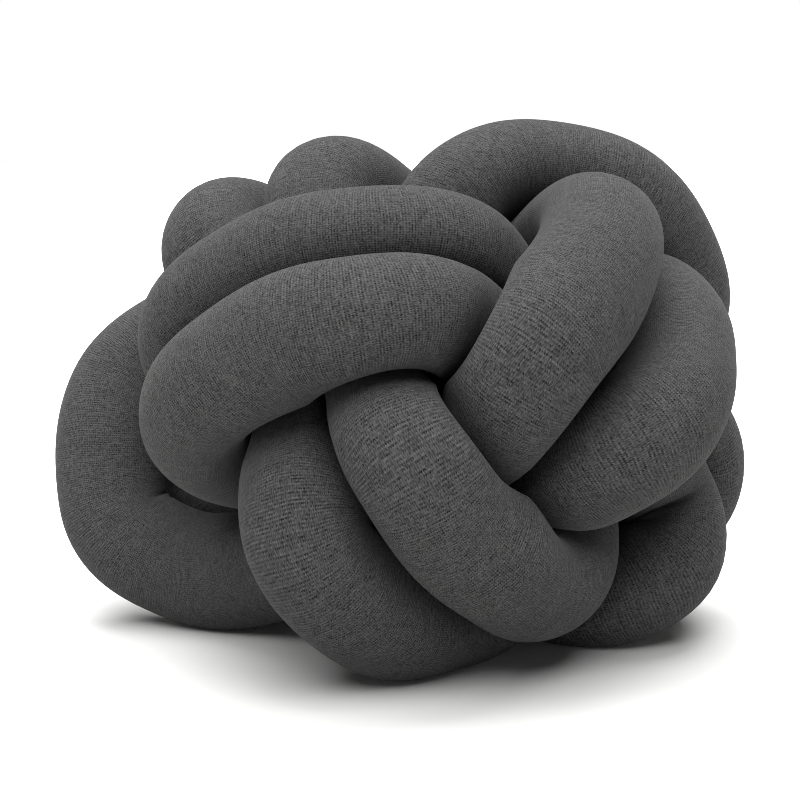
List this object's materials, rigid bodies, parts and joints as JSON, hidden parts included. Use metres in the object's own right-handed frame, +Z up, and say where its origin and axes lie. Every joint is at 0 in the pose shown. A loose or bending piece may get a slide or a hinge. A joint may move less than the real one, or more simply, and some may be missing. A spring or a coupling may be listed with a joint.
{
  "type": "knot pouf",
  "caption": "Low floor pouf made of one long stuffed knit tube tied on itself into a rounded knot, with doubled strands crossing over each other; it rests on its own lobes.",
  "frame": {"origin": "on the floor, under the middle of the knot's outline seen from above", "axes": "+Z up, +X to the right across the knot's width, -Y towards the viewer in front of it"},
  "size_m": [0.6454, 0.5232, 0.4658],
  "materials": {
    "knit": "fine dark grey heathered knit, matt with a soft pale sheen at the edges"
  },
  "bodies": {
    "root": {"knotted_tube": "knit"}
  },
  "joints": []
}
